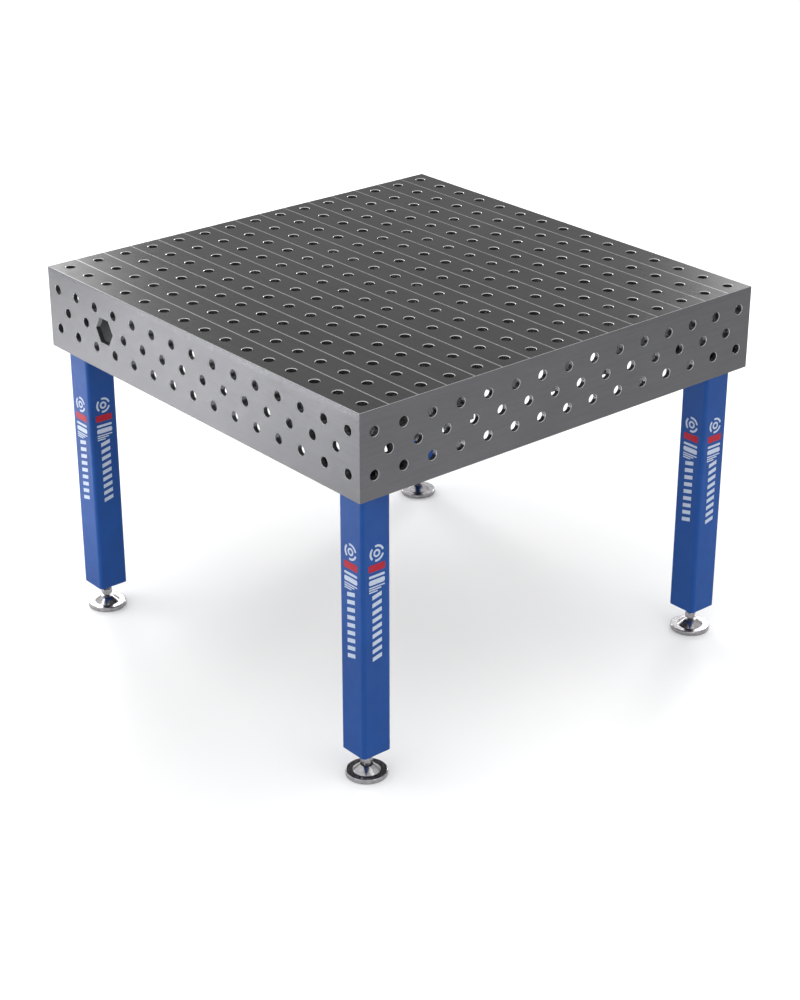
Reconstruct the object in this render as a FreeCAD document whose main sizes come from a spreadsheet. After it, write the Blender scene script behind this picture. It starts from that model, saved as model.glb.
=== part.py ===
import FreeCAD, Part
import math
import os
import Sketcher

# Welding table: a perforated steel work top on an egg-crate of ribs inside a deep
# perforated skirt, four bolted square legs, and a screw-adjusted swivel foot under each leg.
# Millimetres. +Z is up, the origin is on the floor under the middle of the top,
# -Y is the front and +X the right-hand side.

Vector = FreeCAD.Vector
doc = FreeCAD.newDocument("WeldingTable")

SIZES = {
    "table_length": 1200,
    "table_width": 1200,
    "table_height": 925,
    "skirt_depth": 205,
    "top_thickness": 15,
    "side_thickness": 12,
    "edge_chamfer": 1,
    "hole_pitch": 80,
    "hole_count": 15,
    "hole_dia": 24,
    "hole_mouth_dia": 26.4,
    "hole_row_step": 50,
    "line_width": 1.6,
    "line_depth": 0.4,
    "window_radius": 36,
    "rib_thickness": 8,
    "rib_height": 185,
    "rib_inner": 300,
    "rib_middle": 20,
    "long_rib_outer": 420,
    "cross_rib_outer": 460,
    "arch_width": 96,
    "arch_height": 72,
    "arch_rounding": 25,
    "arch_spacing": 160,
    "arch_margin": 24,
    "end_arch_width": 50,
    "end_arch_inset": 97,
    "leg_side": 80,
    "leg_wall": 4,
    "leg_corner": 9,
    "leg_inset": 66,
    "leg_bottom": 69,
    "leg_rise": 17,
    "corner_plate": 12,
    "plug_thickness": 15,
    "leg_bolt_dia": 12,
    "leg_bolt_length": 30,
    "leg_bolt_hole": 13.5,
    "leg_bolt_offset": 22,
    "leg_bolt_head": 18,
    "leg_bolt_head_height": 12,
    "leg_bolt_key": 10,
    "washer_dia": 24,
    "washer_thickness": 2.5,
    "foot_bush_dia": 36,
    "foot_bush_height": 25,
    "foot_plate": 12,
    "spindle_dia": 20,
    "spindle_top": 150,
    "running_gap": 0.05,
    "hex_bottom": 32,
    "hex_height": 15,
    "hex_flats": 24,
    "neck_dia": 12,
    "pin_dia": 8,
    "pin_bottom": 14,
    "nut_flats": 30,
    "nut_height": 10,
    "nut_gap": 0.3,
    "ball_dia": 20,
    "ball_centre": 19,
    "ball_flat": 8,
    "thrust_gap": 0.3,
    "socket_gap": 0.3,
    "base_dia": 98,
    "base_thickness": 12,
    "base_rounding": 3,
    "cone_low_dia": 64,
    "cone_top_dia": 30,
    "cone_height": 14,
}

sheet = doc.addObject("Spreadsheet::Sheet", "Sizes")
for row, (alias, size) in enumerate(SIZES.items(), start=1):
    sheet.set(f"A{row}", alias)
    sheet.set(f"B{row}", str(size))
    sheet.setAlias(f"B{row}", alias)
doc.recompute()

nodes = []


def value(alias):
    """Read one driving dimension from the sheet."""
    return float(sheet.get(alias))


def bind(target, expressions):
    """Bind properties of one object to expressions over the sheet's aliases."""
    for path, text in expressions.items():
        target.setExpression(path, text)


def keep(target, label):
    """Register an object as one sub-part, which is written to its own file."""
    target.Label = label
    nodes.append(target)
    return target


def add(kind, name, expressions):
    """Add a Part primitive whose sizes and place are bound to the sheet."""
    piece = doc.addObject(kind, name)
    bind(piece, expressions)
    return piece


def cut(name, base, tool):
    """Subtract one object from another."""
    piece = doc.addObject("Part::Cut", name)
    piece.Base = base
    piece.Tool = tool
    return piece


def gather(kind, name, pieces):
    """Join (Part::MultiFuse) or group (Part::Compound) several objects."""
    piece = doc.addObject(kind, name)
    if kind == "Part::Compound":
        piece.Links = pieces
    else:
        piece.Shapes = pieces
    return piece


def origin_plane(body, role):
    """Find one of a body's own origin planes or axes by its role."""
    return next(item for item in body.Origin.OriginFeatures if item.Role == role)


def new_sketch(body, name, plane, offset="0"):
    """Attach a sketch to a body's origin plane, moved along the plane's normal."""
    sketch = body.newObject("Sketcher::SketchObject", name)
    sketch.AttachmentSupport = (origin_plane(body, plane), [""])
    sketch.MapMode = "FlatFace"
    sketch.setExpression("AttachmentOffset.Base.z", offset)
    return sketch


def draw_polygon(sketch, corners):
    """Draw a closed outline through the corners, each placed by two expressions."""
    count = len(corners)
    guesses = [Vector(math.cos(2 * math.pi * k / count), math.sin(2 * math.pi * k / count), 0) * 500
               for k in range(count)]
    for k in range(count):
        sketch.addGeometry(Part.LineSegment(guesses[k], guesses[(k + 1) % count]))
    for k in range(count):
        sketch.addConstraint(Sketcher.Constraint("Coincident", k, 2, (k + 1) % count, 1))
    for k, (along, across) in enumerate(corners):
        for axis, text in (("DistanceX", along), ("DistanceY", across)):
            index = sketch.addConstraint(Sketcher.Constraint(axis, -1, 1, k, 1, 1.0))
            sketch.setExpression(f"Constraints[{index}]", text)


def draw_circle(sketch, along, across, diameter):
    """Draw a circle whose centre and diameter are expressions."""
    circle = sketch.addGeometry(Part.Circle(Vector(10, 10, 0), Vector(0, 0, 1), 5))
    size = sketch.addConstraint(Sketcher.Constraint("Diameter", circle, 10.0))
    sketch.setExpression(f"Constraints[{size}]", diameter)
    for axis, text in (("DistanceX", along), ("DistanceY", across)):
        index = sketch.addConstraint(Sketcher.Constraint(axis, -1, 1, circle, 3, 10.0))
        sketch.setExpression(f"Constraints[{index}]", text)


def pad(body, name, sketch, length):
    """Extrude a sketch along its normal."""
    feature = body.newObject("PartDesign::Pad", name)
    feature.Profile = sketch
    feature.setExpression("Length", length)
    return feature


def pocket_through(body, name, sketch):
    """Cut a sketch right through, against its normal."""
    feature = body.newObject("PartDesign::Pocket", name)
    feature.Profile = sketch
    feature.Type = "ThroughAll"
    return feature


def chamfered_holes(body, name, sketch):
    """Drill through with a 45 degree chamfer at the mouth."""
    doc.recompute()
    feature = body.newObject("PartDesign::Hole", name)
    feature.Profile = sketch
    feature.Threaded = False
    feature.DepthType = "ThroughAll"
    feature.setExpression("Diameter", "Sizes.hole_dia")
    feature.HoleCutType = "Countersink"
    feature.HoleCutCustomValues = True
    feature.setExpression("HoleCutDiameter", "Sizes.hole_mouth_dia")
    feature.HoleCutCountersinkAngle = 90
    return feature


def row_pattern(name, axis, length, count):
    """Describe a straight row of equal steps along a body's axis."""
    pattern = doc.addObject("PartDesign::LinearPattern", name)
    pattern.Direction = (axis, [""])
    pattern.setExpression("Length", length)
    pattern.setExpression("Occurrences", count)
    return pattern


def repeat(body, name, feature, rows):
    """Repeat a feature over one row, or over a grid of two."""
    repeated = body.newObject("PartDesign::MultiTransform", name)
    repeated.Originals = [feature]
    repeated.Transformations = rows
    body.Tip = repeated
    return repeated


# ---- work top ------------------------------------------------------------------------------

def make_work_top():
    """Flat plate with a square grid of chamfered holes and engraved lines between the rows."""
    body = doc.addObject("PartDesign::Body", "WorkTop")
    body.setExpression("Placement.Base.z", "Sizes.table_height - Sizes.top_thickness")
    outline = new_sketch(body, "TopOutline", "XY_Plane")
    draw_polygon(outline, [
        ("-Sizes.table_length / 2", "-Sizes.table_width / 2"),
        ("Sizes.table_length / 2", "-Sizes.table_width / 2"),
        ("Sizes.table_length / 2", "Sizes.table_width / 2"),
        ("-Sizes.table_length / 2", "Sizes.table_width / 2"),
    ])
    plate = pad(body, "TopPlate", outline, "Sizes.top_thickness")
    doc.recompute()
    upper = value("top_thickness") - 0.001
    rim = [f"Edge{number}" for number, edge in enumerate(plate.Shape.Edges, start=1)
           if edge.BoundBox.ZMin > upper]
    bevel = body.newObject("PartDesign::Chamfer", "TopEdge")
    bevel.Base = (plate, rim)
    bevel.setExpression("Size", "Sizes.edge_chamfer")
    doc.recompute()
    x_axis = origin_plane(body, "X_Axis")
    y_axis = origin_plane(body, "Y_Axis")
    first_line = new_sketch(body, "LineOutline", "XY_Plane", "Sizes.top_thickness")
    line_y = "-Sizes.table_width / 2 + Sizes.hole_pitch"
    draw_polygon(first_line, [
        ("-Sizes.table_length / 2 - 1", line_y + " - Sizes.line_width / 2"),
        ("Sizes.table_length / 2 + 1", line_y + " - Sizes.line_width / 2"),
        ("Sizes.table_length / 2 + 1", line_y + " + Sizes.line_width / 2"),
        ("-Sizes.table_length / 2 - 1", line_y + " + Sizes.line_width / 2"),
    ])
    engraving = body.newObject("PartDesign::Pocket", "Engraving")
    engraving.Profile = first_line
    engraving.setExpression("Length", "Sizes.line_depth")
    doc.recompute()
    line_span = "Sizes.hole_pitch * (Sizes.hole_count - 2)"
    line_row = row_pattern("LineRow", y_axis, line_span, "Sizes.hole_count - 1")
    repeat(body, "Engravings", engraving, [line_row])
    doc.recompute()
    first_hole = new_sketch(body, "TopHole", "XY_Plane", "Sizes.top_thickness")
    edge_to_hole = "Sizes.hole_pitch / 2"
    draw_circle(first_hole, f"-Sizes.table_length / 2 + {edge_to_hole}",
                f"-Sizes.table_width / 2 + {edge_to_hole}", "Sizes.hole_dia")
    drilled = chamfered_holes(body, "TopDrilling", first_hole)
    doc.recompute()
    span = "Sizes.hole_pitch * (Sizes.hole_count - 1)"
    rows = [row_pattern("HoleRowX", x_axis, span, "Sizes.hole_count"),
            row_pattern("HoleRowY", y_axis, span, "Sizes.hole_count")]
    repeat(body, "TopHoles", drilled, rows)
    doc.recompute()
    keep(body, "work_top")


# ---- skirt ---------------------------------------------------------------------------------

def make_side_plate(label, name, turn, with_window):
    """Skirt plate with mitred ends; drawn as the front one, then turned about +Z."""
    body = doc.addObject("PartDesign::Body", name)
    body.setExpression("Placement.Base.z", "Sizes.table_height - Sizes.skirt_depth")
    body.Placement.Rotation = FreeCAD.Rotation(Vector(0, 0, 1), turn)
    outline = new_sketch(body, name + "Outline", "XY_Plane")
    draw_polygon(outline, [
        ("-Sizes.table_length / 2", "-Sizes.table_width / 2"),
        ("Sizes.table_length / 2", "-Sizes.table_width / 2"),
        ("Sizes.table_length / 2 - Sizes.side_thickness",
         "-Sizes.table_width / 2 + Sizes.side_thickness"),
        ("-Sizes.table_length / 2 + Sizes.side_thickness",
         "-Sizes.table_width / 2 + Sizes.side_thickness"),
    ])
    pad(body, name + "Plate", outline, "Sizes.skirt_depth - Sizes.top_thickness")
    doc.recompute()
    along = origin_plane(body, "X_Axis")
    face = "Sizes.table_width / 2"
    outer_holes = new_sketch(body, name + "OuterHoles", "XZ_Plane", face)
    for rows_down in (1, 3):
        draw_circle(outer_holes, "-Sizes.table_length / 2 + Sizes.hole_pitch / 2",
                    f"Sizes.skirt_depth - {rows_down} * Sizes.hole_row_step", "Sizes.hole_dia")
    outer_drilling = chamfered_holes(body, name + "OuterDrilling", outer_holes)
    doc.recompute()
    outer_row = row_pattern(name + "OuterRow", along,
                            "Sizes.hole_pitch * (Sizes.hole_count - 1)", "Sizes.hole_count")
    repeat(body, name + "OuterRows", outer_drilling, [outer_row])
    doc.recompute()
    runs = [(1, "2"), (4, "Sizes.hole_count - 4")] if with_window else [(1, "Sizes.hole_count - 1")]
    for number, (start, count) in enumerate(runs, start=1):
        middle_hole = new_sketch(body, f"{name}MiddleHole{number}", "XZ_Plane", face)
        draw_circle(middle_hole, f"-Sizes.table_length / 2 + {start} * Sizes.hole_pitch",
                    "Sizes.skirt_depth - 2 * Sizes.hole_row_step", "Sizes.hole_dia")
        drilling = chamfered_holes(body, f"{name}MiddleDrilling{number}", middle_hole)
        doc.recompute()
        middle_row = row_pattern(f"{name}MiddleRow{number}", along,
                                 f"Sizes.hole_pitch * ({count} - 1)", count)
        repeat(body, f"{name}MiddleRows{number}", drilling, [middle_row])
        doc.recompute()
    if with_window:
        window = new_sketch(body, name + "Window", "XZ_Plane", face)
        corners = []
        for k in range(6):
            angle = math.pi / 3 * k
            across = f"{math.cos(angle):.6f} * Sizes.window_radius"
            upward = f"{math.sin(angle):.6f} * Sizes.window_radius"
            corners.append((f"-Sizes.table_length / 2 + 3 * Sizes.hole_pitch + {across}",
                            f"Sizes.skirt_depth - 2 * Sizes.hole_row_step + {upward}"))
        draw_polygon(window, corners)
        pocket_through(body, name + "WindowCut", window)
        doc.recompute()
    keep(body, label)


# ---- ribs ----------------------------------------------------------------------------------

def rib_stations(outer):
    """Places of the ribs that run one way, from one side of the table to the other."""
    return [-value(outer), -value("rib_inner"), value("rib_middle"), value("rib_inner"), value(outer)]


def arch_tool(name, centre, width):
    """Round-topped cut-out that opens through a rib's lower edge."""
    reach = value("rib_thickness") + 2
    low = value("table_height") - value("top_thickness") - value("rib_height")
    radius = min(width / 2, value("arch_rounding"))
    crown = low + value("arch_height")
    left = centre - width / 2
    right = centre + width / 2
    corner = radius * (1 - math.sqrt(0.5))
    points = [
        Vector(left, 0, low - 1),
        Vector(left, 0, crown - radius),
        Vector(left + radius, 0, crown),
        Vector(right - radius, 0, crown),
        Vector(right, 0, crown - radius),
        Vector(right, 0, low - 1),
    ]
    left_arc = Part.Arc(points[1], Vector(left + corner, 0, crown - corner), points[2])
    right_arc = Part.Arc(points[3], Vector(right - corner, 0, crown - corner), points[4])
    edges = [Part.LineSegment(points[0], points[1]).toShape(), left_arc.toShape()]
    if right - left > 2 * radius:
        edges.append(Part.LineSegment(points[2], points[3]).toShape())
    edges += [right_arc.toShape(), Part.LineSegment(points[4], points[5]).toShape(),
              Part.LineSegment(points[5], points[0]).toShape()]
    profile = Part.Face(Part.Wire(edges))
    profile.translate(Vector(0, -reach / 2, 0))
    tool = doc.addObject("Part::Feature", name)
    tool.Shape = profile.extrude(Vector(0, reach, 0))
    return tool


def arch_places(crossings, ends):
    """Centre and width of each arch: one near each side plate, the rest between the crossings."""
    places = []
    near_end = value("table_length") / 2 - value("end_arch_inset")
    if ends > near_end:
        places += [(-near_end, value("end_arch_width")), (near_end, value("end_arch_width"))]
    for start, stop in zip(crossings, crossings[1:]):
        count = max(1, round((stop - start) / value("arch_spacing")))
        step = (stop - start) / count
        width = min(value("arch_width"), step - 2 * value("arch_margin"))
        places += [(start + step * (k + 0.5), width) for k in range(count)]
    return places


def make_rib(label, name, station, half_length, crossings, lengthways):
    """Rib on edge, half-lapped with the ribs that cross it; lengthways ones run along Y."""
    thick = "Sizes.rib_thickness"
    low = "Sizes.table_height - Sizes.top_thickness - Sizes.rib_height"
    blank = add("Part::Box", name + "Blank", {
        "Length": f"{2 * half_length}",
        "Width": thick,
        "Height": "Sizes.rib_height",
        "Placement.Base.x": f"{-half_length}",
        "Placement.Base.y": f"-{thick} / 2",
        "Placement.Base.z": low,
    })
    tools = []
    for number, place in enumerate(crossings, start=1):
        slot_base = low if lengthways else f"{low} + Sizes.rib_height / 2"
        tools.append(add("Part::Box", f"{name}Slot{number}", {
            "Length": thick,
            "Width": f"{thick} + 2",
            "Height": "Sizes.rib_height / 2",
            "Placement.Base.x": f"{place} - {thick} / 2",
            "Placement.Base.y": f"-{thick} / 2 - 1",
            "Placement.Base.z": slot_base,
        }))
    for number, (centre, width) in enumerate(arch_places(crossings, half_length), start=1):
        tools.append(arch_tool(f"{name}Arch{number}", centre, width))
    rib = cut(name, blank, gather("Part::Compound", name + "Tools", tools))
    if lengthways:
        rib.Placement = FreeCAD.Placement(Vector(station, 0, 0), FreeCAD.Rotation(Vector(0, 0, 1), 90))
    else:
        rib.Placement = FreeCAD.Placement(Vector(0, station, 0), FreeCAD.Rotation())
    keep(rib, label)


def make_ribs():
    """Five ribs each way; the middle cross rib stops at the outer long ribs."""
    long_stations = rib_stations("long_rib_outer")
    cross_stations = rib_stations("cross_rib_outer")
    full = value("table_length") / 2 - value("side_thickness")
    short = value("long_rib_outer") - value("rib_thickness") / 2
    for number, station in enumerate(long_stations, start=1):
        meets_middle = abs(station) < value("long_rib_outer")
        crossings = [y for y in cross_stations if meets_middle or y != value("rib_middle")]
        make_rib(f"long_rib_{number}", f"LongRib{number}", station, full, crossings, True)
    for number, station in enumerate(cross_stations, start=1):
        half = short if station == value("rib_middle") else full
        crossings = [x for x in long_stations if abs(x) < half - 1]
        make_rib(f"cross_rib_{number}", f"CrossRib{number}", station, half, crossings, False)


# ---- legs ----------------------------------------------------------------------------------

def leg_positions():
    """Name and sign of each leg's corner."""
    return [("front_left", -1, -1), ("front_right", 1, -1), ("rear_right", 1, 1), ("rear_left", -1, 1)]


def rounded_bar(name, side, corner, low, height):
    """Square bar on the Z axis with rounded long edges."""
    half = side / 2
    bar = Part.makeBox(side, side, height, Vector(-half, -half, low))
    uprights = [edge for edge in bar.Edges
                if abs(edge.Vertexes[0].Point.z - edge.Vertexes[1].Point.z) > height / 2]
    piece = doc.addObject("Part::Feature", name)
    piece.Shape = bar.makeFillet(corner, uprights)
    return piece


def leg_top():
    """Height of the legs' upper end, inside the skirt."""
    return value("table_height") - value("skirt_depth") + value("leg_rise")


def bolt_places():
    """Where the four bolts of one leg sit, from the leg's centre line."""
    offset = value("leg_bolt_offset")
    return [(sx * offset, sy * offset) for sx in (-1, 1) for sy in (-1, 1)]


def bolt_drills(name, diameter, low, height):
    """Four straight drills at a leg's bolt places."""
    drills = []
    for number, (x, y) in enumerate(bolt_places(), start=1):
        drills.append(add("Part::Cylinder", f"{name}{number}", {
            "Radius": f"{diameter} / 2",
            "Height": height,
            "Placement.Base.x": f"{x}",
            "Placement.Base.y": f"{y}",
            "Placement.Base.z": low,
        }))
    return gather("Part::Compound", name, drills)


def make_leg_parts(place, sx, sy):
    """Corner plate, tube, bolted top plug and threaded foot plug of one leg."""
    centre_x = sx * (value("table_length") / 2 - value("leg_inset"))
    centre_y = sy * (value("table_width") / 2 - value("leg_inset"))
    at_leg = FreeCAD.Placement(Vector(centre_x, centre_y, 0), FreeCAD.Rotation())
    tag = place.title().replace("_", "")
    top = leg_top()
    side = value("leg_side")
    wall = value("leg_wall")
    bottom = value("leg_bottom")
    inner_side = side - 2 * wall
    inner_corner = value("leg_corner") - wall
    top_text = "Sizes.table_height - Sizes.skirt_depth + Sizes.leg_rise"

    tube = cut("Tube" + tag,
               rounded_bar("TubeOuter" + tag, side, value("leg_corner"), bottom, top - bottom),
               rounded_bar("TubeInner" + tag, inner_side, inner_corner, bottom - 1, top - bottom + 2))
    tube.Placement = at_leg
    keep(tube, "leg_" + place)

    plug_low = top - value("plug_thickness")
    top_plug = cut("TopPlug" + tag,
                   rounded_bar("TopPlugBar" + tag, inner_side, inner_corner, plug_low,
                               value("plug_thickness")),
                   bolt_drills("TopPlugDrills" + tag, "Sizes.leg_bolt_dia",
                               f"{top_text} - Sizes.plug_thickness - 1", "Sizes.plug_thickness + 2"))
    top_plug.Placement = at_leg
    keep(top_plug, "leg_top_plug_" + place)

    foot_bar = rounded_bar("FootPlugBar" + tag, inner_side, inner_corner, bottom, value("foot_plate"))
    bush = add("Part::Cylinder", "FootBush" + tag, {
        "Radius": "Sizes.foot_bush_dia / 2",
        "Height": "Sizes.foot_bush_height + Sizes.foot_plate",
        "Placement.Base.z": "Sizes.leg_bottom",
    })
    bore = add("Part::Cylinder", "FootBore" + tag, {
        "Radius": "Sizes.spindle_dia / 2 + Sizes.running_gap",
        "Height": "Sizes.foot_bush_height + Sizes.foot_plate + 2",
        "Placement.Base.z": "Sizes.leg_bottom - 1",
    })
    foot_blank = gather("Part::MultiFuse", "FootPlugBlank" + tag, [foot_bar, bush])
    foot_plug = cut("FootPlug" + tag, foot_blank, bore)
    foot_plug.Placement = at_leg
    keep(foot_plug, "leg_foot_plug_" + place)

    inner_x = value("table_length") / 2 - value("side_thickness")
    rib_x = value("long_rib_outer") + value("rib_thickness") / 2
    rib_y = value("cross_rib_outer") + value("rib_thickness") / 2
    left = min(sx * rib_x, sx * inner_x) - centre_x
    front = min(sy * rib_y, sy * inner_x) - centre_y
    plate_blank = add("Part::Box", "CornerPlateBlank" + tag, {
        "Length": f"{inner_x - rib_x}",
        "Width": f"{inner_x - rib_y}",
        "Height": "Sizes.corner_plate",
        "Placement.Base.x": f"{left}",
        "Placement.Base.y": f"{front}",
        "Placement.Base.z": top_text,
    })
    plate = cut("CornerPlate" + tag, plate_blank,
                bolt_drills("CornerDrills" + tag, "Sizes.leg_bolt_hole",
                            f"{top_text} - 1", "Sizes.corner_plate + 2"))
    plate.Placement = at_leg
    keep(plate, "corner_plate_" + place)


def make_leg_fasteners():
    """Socket-head screws and washers that hold the legs to the corner plates."""
    screws = []
    washers = []
    seat = leg_top() + value("corner_plate")
    head_low = seat + value("washer_thickness")
    shank = value("leg_bolt_dia") / 2
    head = value("leg_bolt_head") / 2
    head_height = value("leg_bolt_head_height")
    length = value("leg_bolt_length")
    for _, sx, sy in leg_positions():
        centre_x = sx * (value("table_length") / 2 - value("leg_inset"))
        centre_y = sy * (value("table_width") / 2 - value("leg_inset"))
        for x, y in bolt_places():
            place = Vector(centre_x + x, centre_y + y, 0)
            shaft = Part.makeCylinder(shank, length, place + Vector(0, 0, head_low - length))
            cap = Part.makeCylinder(head, head_height, place + Vector(0, 0, head_low))
            key = hexagon(value("leg_bolt_key"), head_height / 2, place,
                          head_low + head_height / 2)
            screws.append(shaft.fuse(cap).cut(key).removeSplitter().Solids[0])
            ring = Part.makeCylinder(value("washer_dia") / 2, value("washer_thickness"),
                                     place + Vector(0, 0, seat))
            hole = Part.makeCylinder(value("leg_bolt_hole") / 2, value("washer_thickness"),
                                     place + Vector(0, 0, seat))
            washers.append(ring.cut(hole))
    for label, name, solids in (("leg_screws", "LegScrews", screws),
                                ("leg_washers", "LegWashers", washers)):
        group = doc.addObject("Part::Feature", name)
        group.Shape = Part.makeCompound(solids)
        keep(group, label)


# ---- feet ----------------------------------------------------------------------------------

def hexagon(flats, height, place, low):
    """Upright hexagonal prism measured across its flats."""
    radius = flats / math.sqrt(3)
    corners = [place + Vector(radius * math.cos(math.pi / 3 * k), radius * math.sin(math.pi / 3 * k), low)
               for k in range(7)]
    return Part.Face(Part.makePolygon(corners)).extrude(Vector(0, 0, height))


def hex_blank(name, flats, height, low):
    """Hexagon bar bound to the sheet."""
    return add("Part::Prism", name, {
        "Circumradius": f"{flats} / sqrt(3)",
        "Height": height,
        "Placement.Base.z": low,
    })


def make_foot(place, sx, sy):
    """Lock nut, threaded spindle, swivel ball and round base of one foot."""
    centre_x = sx * (value("table_length") / 2 - value("leg_inset"))
    centre_y = sy * (value("table_width") / 2 - value("leg_inset"))
    at_leg = FreeCAD.Placement(Vector(centre_x, centre_y, 0), FreeCAD.Rotation())
    tag = place.title().replace("_", "")

    nut_low = "Sizes.leg_bottom - Sizes.nut_gap - Sizes.nut_height"
    nut_bore = add("Part::Cylinder", "NutBore" + tag, {
        "Radius": "Sizes.spindle_dia / 2 + Sizes.running_gap",
        "Height": "Sizes.nut_height + 2",
        "Placement.Base.z": nut_low + " - 1",
    })
    nut = cut("LockNut" + tag, hex_blank("NutHex" + tag, "Sizes.nut_flats", "Sizes.nut_height", nut_low),
              nut_bore)
    nut.Placement = at_leg
    keep(nut, "lock_nut_" + place)

    ball_top = "Sizes.ball_centre + Sizes.ball_flat"
    thread = add("Part::Cylinder", "Thread" + tag, {
        "Radius": "Sizes.spindle_dia / 2",
        "Height": "Sizes.spindle_top - Sizes.hex_bottom",
        "Placement.Base.z": "Sizes.hex_bottom",
    })
    grip = hex_blank("SpindleHex" + tag, "Sizes.hex_flats", "Sizes.hex_height", "Sizes.hex_bottom")
    neck = add("Part::Cylinder", "Neck" + tag, {
        "Radius": "Sizes.neck_dia / 2",
        "Height": f"Sizes.hex_bottom - ({ball_top}) - Sizes.thrust_gap",
        "Placement.Base.z": f"{ball_top} + Sizes.thrust_gap",
    })
    pin = add("Part::Cylinder", "Pin" + tag, {
        "Radius": "Sizes.pin_dia / 2",
        "Height": "Sizes.hex_bottom - Sizes.pin_bottom",
        "Placement.Base.z": "Sizes.pin_bottom",
    })
    spindle = gather("Part::MultiFuse", "Spindle" + tag, [thread, grip, neck, pin])
    spindle.Placement = at_leg
    keep(spindle, "foot_spindle_" + place)

    ball = add("Part::Sphere", "Ball" + tag, {
        "Radius": "Sizes.ball_dia / 2",
        "Placement.Base.z": "Sizes.ball_centre",
    })
    above_flat = add("Part::Cylinder", "BallFlat" + tag, {
        "Radius": "Sizes.ball_dia",
        "Height": "Sizes.ball_dia",
        "Placement.Base.z": ball_top,
    })
    ball_bore = add("Part::Cylinder", "BallBore" + tag, {
        "Radius": "Sizes.pin_dia / 2 + Sizes.running_gap",
        "Height": "Sizes.ball_dia",
        "Placement.Base.z": "Sizes.pin_bottom - Sizes.thrust_gap",
    })
    swivel = cut("Swivel" + tag, ball, gather("Part::Compound", "BallTools" + tag, [above_flat, ball_bore]))
    swivel.Placement = at_leg
    keep(swivel, "foot_ball_" + place)

    disc = Part.makeCylinder(value("base_dia") / 2, value("base_thickness"))
    rims = [edge for edge in disc.Edges if edge.Closed and len(edge.Vertexes) == 1]
    rounded_disc = doc.addObject("Part::Feature", "BaseDisc" + tag)
    rounded_disc.Shape = disc.makeFillet(value("base_rounding"), rims)
    cone = add("Part::Cone", "BaseCone" + tag, {
        "Radius1": "Sizes.cone_low_dia / 2",
        "Radius2": "Sizes.cone_top_dia / 2",
        "Height": "Sizes.cone_height",
        "Placement.Base.z": "Sizes.base_thickness",
    })
    socket = add("Part::Sphere", "BaseSocket" + tag, {
        "Radius": "Sizes.ball_dia / 2 + Sizes.socket_gap",
        "Placement.Base.z": "Sizes.ball_centre",
    })
    base = cut("FootBase" + tag, gather("Part::MultiFuse", "BaseBlank" + tag, [rounded_disc, cone]),
               socket)
    base.Placement = at_leg
    keep(base, "foot_base_" + place)


# ---- build, check and write ------------------------------------------------------------------

def expected_plate(blank, hole_total, thickness, window=0.0):
    """Volume of a perforated plate, without the small chamfers at the hole mouths."""
    return blank - hole_total * math.pi * value("hole_dia") ** 2 / 4 * thickness - window * thickness


make_work_top()
make_side_plate("side_plate_front", "FrontPlate", 0, True)
make_side_plate("side_plate_right", "RightPlate", 90, False)
make_side_plate("side_plate_rear", "RearPlate", 180, False)
make_side_plate("side_plate_left", "LeftPlate", 270, False)
make_ribs()
for corner_place, sign_x, sign_y in leg_positions():
    make_leg_parts(corner_place, sign_x, sign_y)
    make_foot(corner_place, sign_x, sign_y)
make_leg_fasteners()
doc.recompute()

top_blank = value("table_length") * value("table_width") * value("top_thickness")
side_blank = ((value("table_length") - value("side_thickness")) * value("side_thickness")
              * (value("skirt_depth") - value("top_thickness")))
side_holes = 3 * value("hole_count") - 1
hexagon_area = 1.5 * math.sqrt(3) * value("window_radius") ** 2
plate_volumes = {
    "work_top": expected_plate(top_blank, value("hole_count") ** 2, value("top_thickness")),
    "side_plate_front": expected_plate(side_blank, side_holes - 1, value("side_thickness"), hexagon_area),
    "side_plate_right": expected_plate(side_blank, side_holes, value("side_thickness")),
    "side_plate_rear": expected_plate(side_blank, side_holes, value("side_thickness")),
    "side_plate_left": expected_plate(side_blank, side_holes, value("side_thickness")),
}
for node in nodes:
    if node.Label in plate_volumes:
        share = node.Shape.Volume / plate_volumes[node.Label]
        if abs(share - 1) > 0.005:
            raise RuntimeError(f"{node.Label} has the wrong number of holes: {share:.4f}")

for item in doc.Objects:
    if "Invalid" in item.State or "Error" in item.State:
        raise RuntimeError(f"{item.Label} did not build: {item.State}")
for node in nodes:
    if node.Shape.isNull() or not node.Shape.isValid():
        raise RuntimeError(f"{node.Label} is not a valid solid")

os.makedirs("parts", exist_ok=True)
for node in nodes:
    node.Shape.exportStep(f"parts/{node.Label}.step")
    box = node.Shape.BoundBox
    print(f"{node.Label:32s} solids {len(node.Shape.Solids):3d} volume {node.Shape.Volume / 1000:10.2f} cm3"
          f" z {box.ZMin:8.2f} {box.ZMax:8.2f}")
print("nodes", len(nodes))
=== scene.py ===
import math

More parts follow.
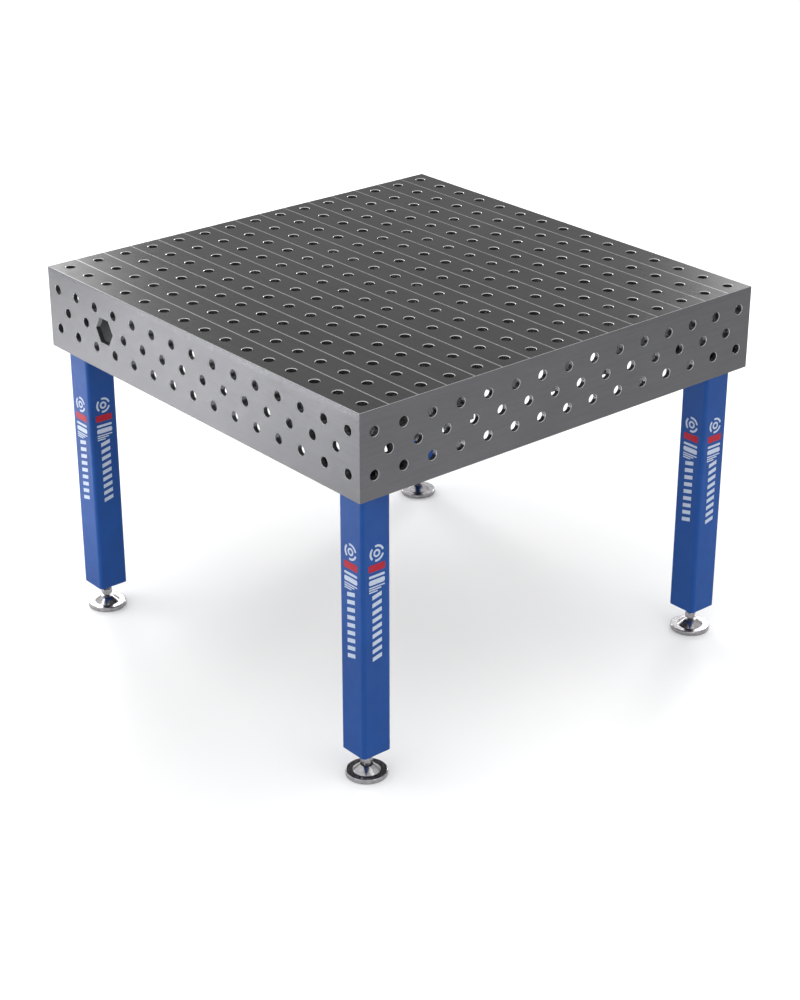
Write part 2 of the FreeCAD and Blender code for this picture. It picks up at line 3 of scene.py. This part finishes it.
import bmesh
import bpy
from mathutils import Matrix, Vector


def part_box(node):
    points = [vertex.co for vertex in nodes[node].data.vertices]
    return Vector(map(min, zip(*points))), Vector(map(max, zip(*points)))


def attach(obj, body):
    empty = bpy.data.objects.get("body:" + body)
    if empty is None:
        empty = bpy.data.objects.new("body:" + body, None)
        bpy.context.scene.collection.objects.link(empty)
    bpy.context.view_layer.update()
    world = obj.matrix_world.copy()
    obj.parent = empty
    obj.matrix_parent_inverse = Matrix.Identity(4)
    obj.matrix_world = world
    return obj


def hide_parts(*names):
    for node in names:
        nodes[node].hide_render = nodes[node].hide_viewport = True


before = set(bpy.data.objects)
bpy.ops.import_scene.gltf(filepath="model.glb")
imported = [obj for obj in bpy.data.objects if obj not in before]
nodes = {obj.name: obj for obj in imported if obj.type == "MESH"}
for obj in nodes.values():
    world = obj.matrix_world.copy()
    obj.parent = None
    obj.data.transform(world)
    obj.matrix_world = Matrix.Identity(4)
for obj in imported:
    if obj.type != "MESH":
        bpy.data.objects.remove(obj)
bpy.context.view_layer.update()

PLACES = ["front_left", "front_right", "rear_right", "rear_left"]

top_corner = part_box("work_top")[1]
TOP_Z = top_corner.z
HALF_LENGTH = top_corner.x
SKIRT_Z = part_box("side_plate_front")[0].z
HOLE_PITCH = 0.08

# how far the zones of the plate material reach from a face, and from an engraved line; the bright zone
# at the hole mouths and edge chamfers is partly a painted highlight
EDGE_BEVEL = 0.0004
MOUTH_HIGHLIGHT_DEPTH = 0.0013
FACE_SKIN = 0.00003
LINE_REACH = 0.0017

# the printed column of marks, as drops below the skirt's lower edge
EMBLEM_DROP = 0.145
RED_TOP_DROP = 0.1705
RED_LOW_DROP = 0.1875
BADGE_DROP = 0.203
COLUMN_DROP = 0.246
MARK_HALF = 0.022
RED_HALF = 0.023
BLOCK_HALF = 0.013
BLOCK_HEIGHT = 0.0100
BLOCK_GAP = 0.0090
BLOCK_LEAN = 0.0060
BLOCK_COUNT = 9

# the spindle, an M20 screw with a short hexagon
THREAD_CREST = 0.0100
THREAD_ROOT = 0.0087
THREAD_PITCH = 0.0025
THREAD_STEPS = 8
HEX_LIFT = 0.018
HEX_HEIGHT = 0.015
HEX_CHAMFER = 0.0011
PIN_RADIUS = 0.0040
PIN_LENGTH = 0.0133
NECK_RADIUS = 0.0060
RING_COUNT = 36

# weld beads; END_ARCH_FAR is where a rib's end arch stops, from the middle of the table
BEAD_SIZE = 0.004
BEAD_ROOT = 0.0002
BEAD_HALF = 0.02
RIPPLE = 0.0025
RIB_COUNT = 5
CROSSING_GAP = 0.03
END_ARCH_FAR = 0.532


# ---- camera ----------------------------------------------------------------------------------

def make_camera():
    """Portrait view from the front right corner, slightly above."""
    data = bpy.data.cameras.new("camera")
    data.sensor_width = 36
    data.lens = 77.42
    camera = bpy.data.objects.new("camera", data)
    azimuth = math.radians(49.862)
    elevation = math.radians(25.354)
    camera.location = (3.7528, -3.1493, TOP_Z + 1.7261)
    camera.rotation_euler = (math.pi / 2 - elevation, 0.0, azimuth)
    bpy.context.scene.collection.objects.link(camera)
    bpy.context.scene.camera = camera


# ---- node helpers ----------------------------------------------------------------------------

def linear(red, green, blue):
    """Turn display values from 0 to 255 into the linear colour that a shader takes."""
    parts = [channel / 255 for channel in (red, green, blue)]
    return tuple(c / 12.92 if c <= 0.04045 else ((c + 0.055) / 1.055) ** 2.4 for c in parts) + (1.0,)


SKIRT_DARK = linear(84, 84, 87)
SKIRT_LIGHT = linear(98, 98, 101)
# machined tones colour the hole mouths and edge chamfers, partly cut metal and partly a painted
# highlight, and the band along each engraved line
MACHINED_DARK = linear(176, 176, 178)
MACHINED_LIGHT = linear(204, 204, 206)
BORE_DARK = linear(112, 112, 115)
BORE_LIGHT = linear(140, 140, 143)


class Graph:
    """Small builder for a node material."""

    def __init__(self, name):
        self.material = bpy.data.materials.new(name)
        self.material.use_nodes = True
        self.tree = self.material.node_tree
        self.shader = self.tree.nodes["Principled BSDF"]

    def node(self, kind, **settings):
        made = self.tree.nodes.new(kind)
        for key, setting in settings.items():
            setattr(made, key, setting)
        return made

    def link(self, source, target):
        self.tree.links.new(source, target)

    def set(self, **values):
        for key, amount in values.items():
            self.shader.inputs[key.replace("_", " ")].default_value = amount

    def position(self, scale=(1, 1, 1)):
        """Place in the object's own frame, stretched along each axis."""
        coordinate = self.node("ShaderNodeTexCoord")
        mapping = self.node("ShaderNodeMapping")
        mapping.inputs["Scale"].default_value = scale
        self.link(coordinate.outputs["Object"], mapping.inputs["Vector"])
        return mapping.outputs["Vector"]

    def noise(self, scale, detail=4.0, rough=0.5, stretch=(1, 1, 1)):
        texture = self.node("ShaderNodeTexNoise")
        texture.inputs["Scale"].default_value = scale
        texture.inputs["Detail"].default_value = detail
        texture.inputs["Roughness"].default_value = rough
        self.link(self.position(stretch), texture.inputs["Vector"])
        return texture.outputs["Fac"]

    def ramp(self, source, stops):
        """Map a value through colour stops given as (place, colour)."""
        made = self.node("ShaderNodeValToRGB")
        points = made.color_ramp.elements
        while len(points) < len(stops):
            points.new(0.5)
        for point, (place, colour) in zip(points, stops):
            point.position = place
            point.color = colour
        self.link(source, made.inputs["Fac"])
        return made.outputs["Color"]

    def spread(self, source, low, high, from_low=0.3, from_high=0.7):
        """Map a value from one range to another."""
        made = self.node("ShaderNodeMapRange")
        made.inputs["From Min"].default_value = from_low
        made.inputs["From Max"].default_value = from_high
        made.inputs["To Min"].default_value = low
        made.inputs["To Max"].default_value = high
        self.link(source, made.inputs["Value"])
        return made.outputs["Result"]

    def math(self, operation, first, second=None):
        made = self.node("ShaderNodeMath", operation=operation)
        for socket, item in zip(made.inputs, (first, second)):
            if item is None:
                continue
            if isinstance(item, (int, float)):
                socket.default_value = item
            else:
                self.link(item, socket)
        return made.outputs["Value"]

    def mix(self, factor, first, second, blend="MIX"):
        made = self.node("ShaderNodeMix", data_type="RGBA", blend_type=blend)
        sockets = (made.inputs["Factor"], made.inputs[6], made.inputs[7])
        for socket, item in zip(sockets, (factor, first, second)):
            if isinstance(item, (int, float, tuple)):
                socket.default_value = item
            else:
                self.link(item, socket)
        return made.outputs[2]

    def blend_values(self, lay, clouds, scuffs):
        """Weigh the three scales of a ground face into one tone."""
        coarse = self.math("ADD", self.math("MULTIPLY", lay, 0.38), self.math("MULTIPLY", clouds, 0.5))
        return self.math("ADD", coarse, self.math("MULTIPLY", scuffs, 0.12))

    def bump(self, height, strength, distance=0.0005):
        made = self.node("ShaderNodeBump")
        made.inputs["Strength"].default_value = strength
        made.inputs["Distance"].default_value = distance
        self.link(height, made.inputs["Height"])
        self.link(made.outputs["Normal"], self.shader.inputs["Normal"])


def ground_steel(name, rough, face_tones=None):
    """Ground plate: fine straight lay and soft clouds outside, hole mouths and edge chamfers in a
    bright tone that is partly cut metal and partly a painted highlight, and greyer bores.

    face_tones gives the darker tones of the work surface, which also has a bright band along each
    engraved line; without it the plate has no such surface.
    """
    graph = Graph(name)
    clouds = graph.noise(2.2, 5.0, 0.6)
    scuffs = graph.noise(38.0, 6.0, 0.75)
    lay = graph.noise(1.0, 3.0, 0.6, (9, 9, 140))
    split = graph.node("ShaderNodeSeparateXYZ")
    graph.link(graph.position(), split.inputs["Vector"])
    reach = graph.math("MAXIMUM", graph.math("ABSOLUTE", split.outputs["X"]),
                       graph.math("ABSOLUTE", split.outputs["Y"]))
    outside = graph.math("GREATER_THAN", reach, HALF_LENGTH - EDGE_BEVEL)
    tone = graph.blend_values(lay, clouds, scuffs)
    skirt = graph.ramp(tone, [(0.32, SKIRT_DARK), (0.68, SKIRT_LIGHT)])
    turned = graph.noise(1.0, 3.0, 0.6, (400, 400, 900))
    machined = graph.ramp(turned, [(0.3, MACHINED_DARK), (0.7, MACHINED_LIGHT)])
    bore = graph.ramp(turned, [(0.3, BORE_DARK), (0.7, BORE_LIGHT)])
    # hole mouths and edge chamfers within this depth take the bright machined tone, partly a painted
    # highlight
    side_mouth_highlight = graph.math("GREATER_THAN", reach, HALF_LENGTH - MOUTH_HIGHLIGHT_DEPTH)
    top_mouth_highlight = graph.math("GREATER_THAN", split.outputs["Z"], TOP_Z - MOUTH_HIGHLIGHT_DEPTH)
    colour = graph.mix(graph.math("MAXIMUM", side_mouth_highlight, top_mouth_highlight), bore, machined)
    colour = graph.mix(outside, colour, skirt)
    roughness = graph.spread(graph.math("ADD", lay, scuffs), rough - 0.05, rough + 0.05, 0.7, 1.3)
    if face_tones:
        top_lay = graph.noise(1.0, 3.0, 0.6, (4, 240, 4))
        top_tone = graph.blend_values(top_lay, clouds, scuffs)
        above = graph.math("GREATER_THAN", split.outputs["Z"], TOP_Z - FACE_SKIN)
        face = graph.ramp(top_tone, [(0.32, face_tones[0]), (0.68, face_tones[1])])
        shifted = graph.math("ADD", split.outputs["Y"], HOLE_PITCH / 2)
        from_line = graph.math("PINGPONG", shifted, HOLE_PITCH / 2)
        burr = graph.math("MULTIPLY", graph.math("LESS_THAN", from_line, LINE_REACH), 0.55)
        colour = graph.mix(above, colour, graph.mix(burr, face, machined))
        lay = graph.math("ADD", graph.math("MULTIPLY", above, top_lay),
                         graph.math("MULTIPLY", graph.math("SUBTRACT", 1.0, above), lay))
    graph.link(colour, graph.shader.inputs["Base Color"])
    graph.link(roughness, graph.shader.inputs["Roughness"])
    graph.set(Metallic=0.92)
    graph.bump(lay, 0.10, 0.0002)
    return graph.material


def mill_steel(name):
    """Hot-rolled plate with laser-cut edges: mottled grey with faint scale."""
    graph = Graph(name)
    tone = graph.math("ADD", graph.math("MULTIPLY", graph.noise(14.0, 6.0, 0.7), 0.7),
                      graph.math("MULTIPLY", graph.noise(160.0, 3.0), 0.3))
    graph.link(graph.ramp(tone, [(0.35, linear(84, 85, 88)), (0.65, linear(112, 112, 115))]),
               graph.shader.inputs["Base Color"])
    graph.link(graph.spread(graph.noise(60.0, 4.0), 0.42, 0.58), graph.shader.inputs["Roughness"])
    graph.set(Metallic=0.6)
    graph.bump(tone, 0.15, 0.0004)
    return graph.material


def weld_steel(name):
    """Cooled weld metal: ripples across the bead, with straw and blue heat tints."""
    graph = Graph(name)
    tint = graph.noise(45.0, 4.0, 0.6)
    colour = graph.ramp(tint, [(0.30, linear(98, 104, 120)), (0.50, linear(134, 134, 136)),
                               (0.70, linear(140, 128, 112))])
    graph.link(colour, graph.shader.inputs["Base Color"])
    graph.link(graph.spread(graph.noise(300.0, 4.0), 0.32, 0.5), graph.shader.inputs["Roughness"])
    graph.set(Metallic=0.8)
    graph.bump(graph.noise(700.0, 3.0), 0.2, 0.0003)
    return graph.material


def blue_paint(name):
    """Semi-gloss powder coat with faint orange peel and a little dust tone."""
    graph = Graph(name)
    tone = graph.noise(6.0, 4.0, 0.6)
    colour = graph.ramp(tone, [(0.3, linear(9, 61, 128)), (0.7, linear(15, 71, 143))])
    graph.link(colour, graph.shader.inputs["Base Color"])
    peel = graph.noise(900.0, 2.0, 0.5)
    graph.link(graph.spread(graph.noise(60.0, 3.0), 0.42, 0.52), graph.shader.inputs["Roughness"])
    graph.set(Specular_IOR_Level=0.2)
    graph.bump(peel, 0.10, 0.0002)
    return graph.material


def polished_steel(name, dark, light, rough):
    """Turned and polished steel with fine rings left by the lathe."""
    graph = Graph(name)
    tone = graph.noise(90.0, 4.0, 0.6)
    graph.link(graph.ramp(tone, [(0.3, dark), (0.7, light)]), graph.shader.inputs["Base Color"])
    graph.link(graph.spread(graph.noise(240.0, 3.0), rough - 0.04, rough + 0.05),
               graph.shader.inputs["Roughness"])
    graph.set(Metallic=1.0)
    graph.bump(graph.noise(1.0, 2.0, 0.5, (900, 900, 3000)), 0.05, 0.0001)
    return graph.material


def print_ink(name, dark, light):
    """Screen-printed ink on the paint, slightly uneven."""
    graph = Graph(name)
    graph.link(graph.ramp(graph.noise(160.0, 5.0, 0.7), [(0.3, dark), (0.7, light)]),
               graph.shader.inputs["Base Color"])
    graph.link(graph.spread(graph.noise(300.0, 3.0), 0.38, 0.5), graph.shader.inputs["Roughness"])
    graph.set(Specular_IOR_Level=0.2)
    graph.bump(graph.noise(700.0, 2.0), 0.06, 0.0001)
    return graph.material


def dress(node_name, material):
    """Give a CAD node one material on all its slots."""
    target = nodes[node_name]
    if not target.material_slots:
        target.data.materials.append(material)
    for slot in target.material_slots:
        slot.link = "OBJECT"
        slot.material = material


# ---- printed marks on the legs ---------------------------------------------------------------

class FacePrinter:
    """Collects thin flat prisms on one leg face; u runs across the face and v is the height."""

    def __init__(self, mesh, centre, outward):
        self.mesh = mesh
        self.centre = centre
        self.outward = outward
        self.across = Vector((-outward.y, outward.x, 0.0))

    def point(self, u, v, lift):
        base = self.centre + self.across * u + self.outward * lift
        return Vector((base.x, base.y, v))

    def prism(self, outline, thickness=0.0003):
        """Closed prism over an outline of (u, v) points that runs counterclockwise."""
        low = [self.mesh.verts.new(self.point(u, v, 0.0)) for u, v in outline]
        high = [self.mesh.verts.new(self.point(u, v, thickness)) for u, v in outline]
        self.mesh.faces.new(list(reversed(low)))
        self.mesh.faces.new(high)
        count = len(outline)
        for k in range(count):
            after = (k + 1) % count
            self.mesh.faces.new((low[k], low[after], high[after], high[k]))

    def rounded(self, u0, v0, u1, v1, radius, steps=6):
        """Rectangle with round corners."""
        outline = []
        corners = [(u1 - radius, v1 - radius, 0), (u0 + radius, v1 - radius, 90),
                   (u0 + radius, v0 + radius, 180), (u1 - radius, v0 + radius, 270)]
        for cu, cv, start in corners:
            for k in range(steps + 1):
                angle = math.radians(start + 90 * k / steps)
                outline.append((cu + radius * math.cos(angle), cv + radius * math.sin(angle)))
        self.prism(outline)

    def ring(self, u, v, outer, inner, start, stop, steps=24):
        """Part of a ring between two angles in degrees."""
        outline = []
        for radius, order in ((outer, range(steps + 1)), (inner, range(steps, -1, -1))):
            for k in order:
                angle = math.radians(start + (stop - start) * k / steps)
                outline.append((u + radius * math.cos(angle), v + radius * math.sin(angle)))
        self.prism(outline)


def print_leg(place, white, red):
    """A ring emblem, a red bar, a badge of stripes and a slanted column on each face of a leg."""
    low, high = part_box("leg_" + place)
    centre = (low + high) / 2
    half = (high.x - low.x) / 2
    emblem = SKIRT_Z - EMBLEM_DROP
    badge = SKIRT_Z - BADGE_DROP
    column_top = SKIRT_Z - COLUMN_DROP
    pale = bmesh.new()
    warm = bmesh.new()
    for turn in range(4):
        angle = turn * math.pi / 2
        outward = Vector((round(math.cos(angle)), round(math.sin(angle)), 0))
        spot = Vector((centre.x, centre.y, 0)) + outward * half
        printer = FacePrinter(pale, spot, outward)
        for start in (15, 135, 255):
            printer.ring(0, emblem, 0.0200, 0.0150, start, start + 90)
        printer.ring(0, emblem, 0.0095, 0.0050, 0, 180)
        printer.ring(0, emblem, 0.0095, 0.0050, 180, 360)
        printer.rounded(-MARK_HALF, badge - 0.016, MARK_HALF, badge - 0.004, 0.004)
        printer.rounded(-MARK_HALF, badge + 0.001, MARK_HALF, badge + 0.007, 0.0028)
        for step in range(3):
            printer.rounded(-MARK_HALF, badge - 0.0235 - step * 0.0055, MARK_HALF - step * 0.010,
                            badge - 0.0205 - step * 0.0055, 0.0012)
        for step in range(BLOCK_COUNT):
            base = column_top - (step + 1) * BLOCK_HEIGHT - step * BLOCK_GAP
            printer.prism([(-BLOCK_HALF, base), (BLOCK_HALF, base + BLOCK_LEAN),
                           (BLOCK_HALF, base + BLOCK_HEIGHT + BLOCK_LEAN),
                           (-BLOCK_HALF, base + BLOCK_HEIGHT)])
        red_printer = FacePrinter(warm, spot, outward)
        red_printer.rounded(-RED_HALF, SKIRT_Z - RED_LOW_DROP, RED_HALF, SKIRT_Z - RED_TOP_DROP, 0.003)
    for mesh, label, material in ((pale, "white", white), (warm, "red", red)):
        bmesh.ops.recalc_face_normals(mesh, faces=mesh.faces)
        data = bpy.data.meshes.new(f"leg_print_{label}_{place}")
        mesh.to_mesh(data)
        mesh.free()
        piece = bpy.data.objects.new(f"leg_print_{label}_{place}", data)
        bpy.context.scene.collection.objects.link(piece)
        data.materials.append(material)
        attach(piece, "root")


# ---- threaded spindles -----------------------------------------------------------------------

def ring_of(mesh, centre, radii, z_list):
    """Vertices of one ring per height, with a radius that may vary round the ring."""
    rings = []
    for radius_at, z in zip(radii, z_list):
        ring = []
        for k in range(RING_COUNT):
            angle = 2 * math.pi * k / RING_COUNT
            radius = radius_at(angle)
            ring.append(mesh.verts.new((centre.x + radius * math.cos(angle),
                                        centre.y + radius * math.sin(angle), z)))
        rings.append(ring)
    return rings


def make_spindle(place, material):
    """Spindle with a cut thread, a chamfered hexagon, a neck and a pin."""
    low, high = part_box("foot_spindle_" + place)
    leg_low, leg_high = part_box("leg_" + place)
    centre = (leg_low + leg_high) / 2
    flat = (high.y - low.y) / 2
    hex_low = low.z + HEX_LIFT
    hex_high = hex_low + HEX_HEIGHT
    thread_top = high.z - 0.001
    mesh = bmesh.new()

    def plain(radius):
        return lambda angle: radius

    def hexagonal(trim):
        def shape(angle):
            sector = (angle + math.pi / 6) % (math.pi / 3) - math.pi / 6
            return min(flat / math.cos(math.pi / 6 - abs(sector)), trim)
        return shape

    def threaded(z):
        def shape(angle):
            phase = (z / THREAD_PITCH - angle / (2 * math.pi)) % 1.0
            wave = abs(phase * 2 - 1)
            depth = min(1.0, max(0.0, (wave - 0.12) / 0.76))
            return THREAD_CREST - (THREAD_CREST - THREAD_ROOT) * depth
        return shape

    corner = flat / math.cos(math.pi / 6)
    pin_top = low.z + PIN_LENGTH
    radii = [plain(PIN_RADIUS - 0.0006), plain(PIN_RADIUS), plain(PIN_RADIUS),
             plain(NECK_RADIUS), plain(NECK_RADIUS)]
    heights = [low.z, low.z + 0.0006, pin_top, pin_top, hex_low]
    radii += [hexagonal(flat), hexagonal(corner), hexagonal(corner), hexagonal(flat)]
    heights += [hex_low, hex_low + HEX_CHAMFER, hex_high - HEX_CHAMFER, hex_high]
    radii.append(plain(THREAD_ROOT))
    heights.append(hex_high)
    steps = int((thread_top - hex_high) / (THREAD_PITCH / THREAD_STEPS))
    for k in range(1, steps):
        z = hex_high + (thread_top - hex_high) * k / steps
        radii.append(threaded(z))
        heights.append(z)
    radii += [plain(THREAD_ROOT), plain(THREAD_ROOT - 0.0008)]
    heights += [high.z - 0.0008, high.z]
    rings = ring_of(mesh, centre, radii, heights)
    for lower, upper in zip(rings, rings[1:]):
        for k in range(RING_COUNT):
            after = (k + 1) % RING_COUNT
            mesh.faces.new((lower[k], lower[after], upper[after], upper[k]))
    mesh.faces.new(list(reversed(rings[0])))
    mesh.faces.new(rings[-1])
    data = bpy.data.meshes.new("spindle_" + place)
    mesh.to_mesh(data)
    mesh.free()
    piece = bpy.data.objects.new("threaded_spindle_" + place, data)
    bpy.context.scene.collection.objects.link(piece)
    data.materials.append(material)
    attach(piece, "spindle_" + place)
    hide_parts("foot_spindle_" + place)


# ---- weld beads ------------------------------------------------------------------------------

ALONG_X = Vector((1, 0, 0))
ALONG_Y = Vector((0, 1, 0))
DOWN = Vector((0, 0, -1))


def add_bead(mesh, start, end, first, second):
    """Rippled fillet bead along an inner corner; first and second run from it along the faces."""
    steps = max(6, round((end - start).length / RIPPLE))
    rings = []
    for k in range(steps + 1):
        swell = BEAD_SIZE * (0.55 if k in (0, steps) else 1.0 + 0.06 * (-1) ** k)
        middle = start.lerp(end, k / steps)
        section = [first * -BEAD_ROOT + second * -BEAD_ROOT,
                   first * swell + second * -BEAD_ROOT,
                   first * swell * 0.74 + second * swell * 0.42,
                   first * swell * 0.42 + second * swell * 0.74,
                   first * -BEAD_ROOT + second * swell]
        rings.append([mesh.verts.new(middle + offset) for offset in section])
    for near, far in zip(rings, rings[1:]):
        for k, after in enumerate((1, 2, 3, 4, 0)):
            mesh.faces.new((near[k], near[after], far[after], far[k]))
    mesh.faces.new(rings[0])
    mesh.faces.new(list(reversed(rings[-1])))


def centred_bead(mesh, spot, along, away):
    """Short bead under the top, centred on a spot beside a plate."""
    add_bead(mesh, spot - along * BEAD_HALF, spot + along * BEAD_HALF, away, DOWN)


def rib_beads(mesh, kind, crossing_kind):
    """Staggered beads between ribs and the top, kept clear of the holes and the crossings."""
    along, across = (ALONG_Y, ALONG_X) if kind == "long_rib" else (ALONG_X, ALONG_Y)
    crossings = []
    for number in range(1, RIB_COUNT + 1):
        low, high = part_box(f"{crossing_kind}_{number}")
        crossings.append((low + high).dot(along) / 2)
    for number in range(1, RIB_COUNT + 1):
        low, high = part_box(f"{kind}_{number}")
        reach = high.dot(along) - CROSSING_GAP
        for step in range(-7, 7):
            middle = (step + 0.5) * HOLE_PITCH
            nearest = min(abs(middle - crossing) for crossing in crossings)
            if abs(middle) > reach or nearest < CROSSING_GAP:
                continue
            side = 1 if step % 2 else -1
            face = high.dot(across) if side > 0 else low.dot(across)
            spot = along * middle + across * face + Vector((0, 0, high.z))
            centred_bead(mesh, spot, along, across * side)


def skirt_beads(mesh):
    """Beads down the four inner corners of the skirt and between the skirt and the top."""
    inner_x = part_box("side_plate_right")[0].x
    inner_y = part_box("side_plate_rear")[0].y
    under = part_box("side_plate_rear")[1].z
    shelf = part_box("corner_plate_rear_right")[1].z
    for x_side in (-1, 1):
        for y_side in (-1, 1):
            corner = Vector((x_side * inner_x, y_side * inner_y, 0))
            start = Vector((corner.x, corner.y, shelf + 0.004))
            end = Vector((corner.x, corner.y, under - 0.003))
            add_bead(mesh, start, end, ALONG_X * -x_side, ALONG_Y * -y_side)
    for step in range(-3, 4):
        middle = step * 2 * HOLE_PITCH + HOLE_PITCH / 2
        if abs(middle) > inner_x - 0.06:
            continue
        for side in (-1, 1):
            centred_bead(mesh, Vector((side * inner_x, middle, under)), ALONG_Y, ALONG_X * -side)
            centred_bead(mesh, Vector((middle, side * inner_y, under)), ALONG_X, ALONG_Y * -side)


def corner_plate_beads(mesh, place):
    """Beads under a corner plate: along both skirt plates, and along the ribs past their arches."""
    low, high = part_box("corner_plate_" + place)
    x_side = 1 if low.x > 0 else -1
    y_side = 1 if low.y > 0 else -1
    near = Vector((min(abs(low.x), abs(high.x)), min(abs(low.y), abs(high.y)), low.z))
    far = Vector((max(abs(low.x), abs(high.x)), max(abs(low.y), abs(high.y)), low.z))
    end_gap = 0.006
    mirror = Vector((x_side, y_side, 1))
    for y, away, start_x in ((far.y, -ALONG_Y, near.x + end_gap), (near.y, ALONG_Y, END_ARCH_FAR)):
        start = Vector((start_x, y, near.z))
        end = Vector((far.x - end_gap, y, near.z))
        add_bead(mesh, start * mirror, end * mirror, away * mirror, DOWN)
    for x, away, start_y in ((far.x, -ALONG_X, near.y + end_gap), (near.x, ALONG_X, END_ARCH_FAR)):
        start = Vector((x, start_y, near.z))
        end = Vector((x, far.y - end_gap, near.z))
        add_bead(mesh, start * mirror, end * mirror, away * mirror, DOWN)


def make_weld_beads(material):
    """All the beads under the top, as one piece on the frame."""
    mesh = bmesh.new()
    rib_beads(mesh, "long_rib", "cross_rib")
    rib_beads(mesh, "cross_rib", "long_rib")
    skirt_beads(mesh)
    for place in PLACES:
        corner_plate_beads(mesh, place)
    bmesh.ops.recalc_face_normals(mesh, faces=mesh.faces)
    data = bpy.data.meshes.new("weld_beads")
    mesh.to_mesh(data)
    mesh.free()
    piece = bpy.data.objects.new("weld_beads", data)
    bpy.context.scene.collection.objects.link(piece)
    data.materials.append(material)
    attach(piece, "root")


# ---- floor and light -------------------------------------------------------------------------

def make_floor():
    """Large pale plane."""
    mesh = bpy.data.meshes.new("floor")
    reach = 60.0
    corners = [(-reach, -reach, 0), (reach, -reach, 0), (reach, reach, 0), (-reach, reach, 0)]
    mesh.from_pydata(corners, [], [(0, 1, 2, 3)])
    floor = bpy.data.objects.new("floor", mesh)
    bpy.context.scene.collection.objects.link(floor)
    graph = Graph("pale_floor")
    stops = [(0.3, (0.965, 0.965, 0.965, 1)), (0.7, (0.98, 0.98, 0.98, 1))]
    graph.link(graph.ramp(graph.noise(1.5, 3.0), stops), graph.shader.inputs["Base Color"])
    graph.set(Roughness=0.9)
    mesh.materials.append(graph.material)


def area_light(name, place, target, size, power, spread=180):
    """Square soft light aimed at a point, with its beam spread in degrees."""
    data = bpy.data.lights.new(name, "AREA")
    data.shape = "SQUARE"
    data.size = size
    data.energy = power
    data.spread = math.radians(spread)
    light = bpy.data.objects.new(name, data)
    light.location = place
    aim = Vector(target) - Vector(place)
    light.rotation_euler = aim.to_track_quat("-Z", "Y").to_euler()
    light.visible_camera = False
    bpy.context.scene.collection.objects.link(light)


def ranged(tree, source, before, after):
    """Map a value of the world's tree from one range to another."""
    made = tree.nodes.new("ShaderNodeMapRange")
    made.inputs["From Min"].default_value, made.inputs["From Max"].default_value = before
    made.inputs["To Min"].default_value, made.inputs["To Max"].default_value = after
    tree.links.new(source, made.inputs["Value"])
    return made.outputs["Result"]


def make_light():
    """Soft studio: a pale surround and area lights that the camera does not see.

    The surround is brighter to the front left and higher up, and plain white to the camera.
    The polished sides mirror the floor, so the key is a narrow light on the floor in front of the
    front skirt, and right_box does the same beside the right one. left_box and rear_box are seen
    only as soft highlights on the top.
    """
    world = bpy.data.worlds.new("studio")
    bpy.context.scene.world = world
    world.use_nodes = True
    tree = world.node_tree
    background = tree.nodes["Background"]
    direction = tree.nodes.new("ShaderNodeTexCoord")
    split = tree.nodes.new("ShaderNodeSeparateXYZ")
    sideways = tree.nodes.new("ShaderNodeMath")
    sideways.operation = "ADD"
    tree.links.new(direction.outputs["Generated"], split.inputs["Vector"])
    tree.links.new(split.outputs["X"], sideways.inputs[0])
    tree.links.new(split.outputs["Y"], sideways.inputs[1])
    strength = ranged(tree, sideways.outputs["Value"], (-1.2, 1.2), (1.17, 0.76))
    rise = ranged(tree, split.outputs["Z"], (0.27, 0.42), (0.72, 1.25))
    product = tree.nodes.new("ShaderNodeMath")
    product.operation = "MULTIPLY"
    tree.links.new(strength, product.inputs[0])
    tree.links.new(rise, product.inputs[1])
    seen = tree.nodes.new("ShaderNodeLightPath")
    shown = tree.nodes.new("ShaderNodeMix")
    shown.inputs["B"].default_value = 1.0
    tree.links.new(seen.outputs["Is Camera Ray"], shown.inputs["Factor"])
    tree.links.new(product.outputs["Value"], shown.inputs["A"])
    tree.links.new(shown.outputs["Result"], background.inputs["Strength"])
    background.inputs["Color"].default_value = (1.0, 1.0, 1.0, 1)
    area_light("key", (-1.8, -2.25, 2.4), (-1.7, -2.15, 0.0), 2.0, 62, spread=60)
    area_light("right_box", (2.2, 0.1, 2.0), (2.0, 0.1, 0.0), 1.0, 6, spread=80)
    area_light("left_box", (-5.0, 1.3, 2.45), (-0.5, -0.4, 0.9), 1.6, 54)
    area_light("rear_box", (-2.4, 5.2, 2.8), (0.5, 0.4, 0.9), 1.4, 75)
    bpy.context.scene.view_settings.view_transform = "Standard"


# ---- assemble --------------------------------------------------------------------------------

make_camera()
top_steel = ground_steel("ground_top", 0.30, (linear(50, 50, 50), linear(68, 68, 68)))
top_shader = top_steel.node_tree.nodes["Principled BSDF"]
top_shader.inputs["Specular Tint"].default_value = (0.72, 0.72, 0.72, 1)
skirt_steel = ground_steel("ground_skirt", 0.38)
rib_steel = mill_steel("mill_steel")
paint = blue_paint("blue_powder")
chrome = polished_steel("polished_foot", linear(138, 136, 138), linear(172, 170, 172), 0.17)
zinc = polished_steel("bright_zinc", linear(150, 152, 156), linear(180, 182, 186), 0.3)
white_ink = print_ink("white_ink", linear(166, 178, 198), linear(190, 200, 216))
red_ink = print_ink("red_ink", linear(150, 8, 34), linear(172, 18, 44))

for name in nodes:
    if name == "work_top":
        dress(name, top_steel)
    elif name.startswith("side_plate"):
        dress(name, skirt_steel)
    elif "rib_" in name or name.startswith("corner_plate"):
        dress(name, rib_steel)
    elif name in ("leg_screws", "leg_washers") or name.startswith("lock_nut"):
        dress(name, zinc)
    elif name.startswith("leg_"):
        dress(name, paint)
    else:
        dress(name, chrome)

for place in PLACES:
    print_leg(place, white_ink, red_ink)
    make_spindle(place, chrome)
make_weld_beads(weld_steel("weld_steel"))
make_floor()
make_light()
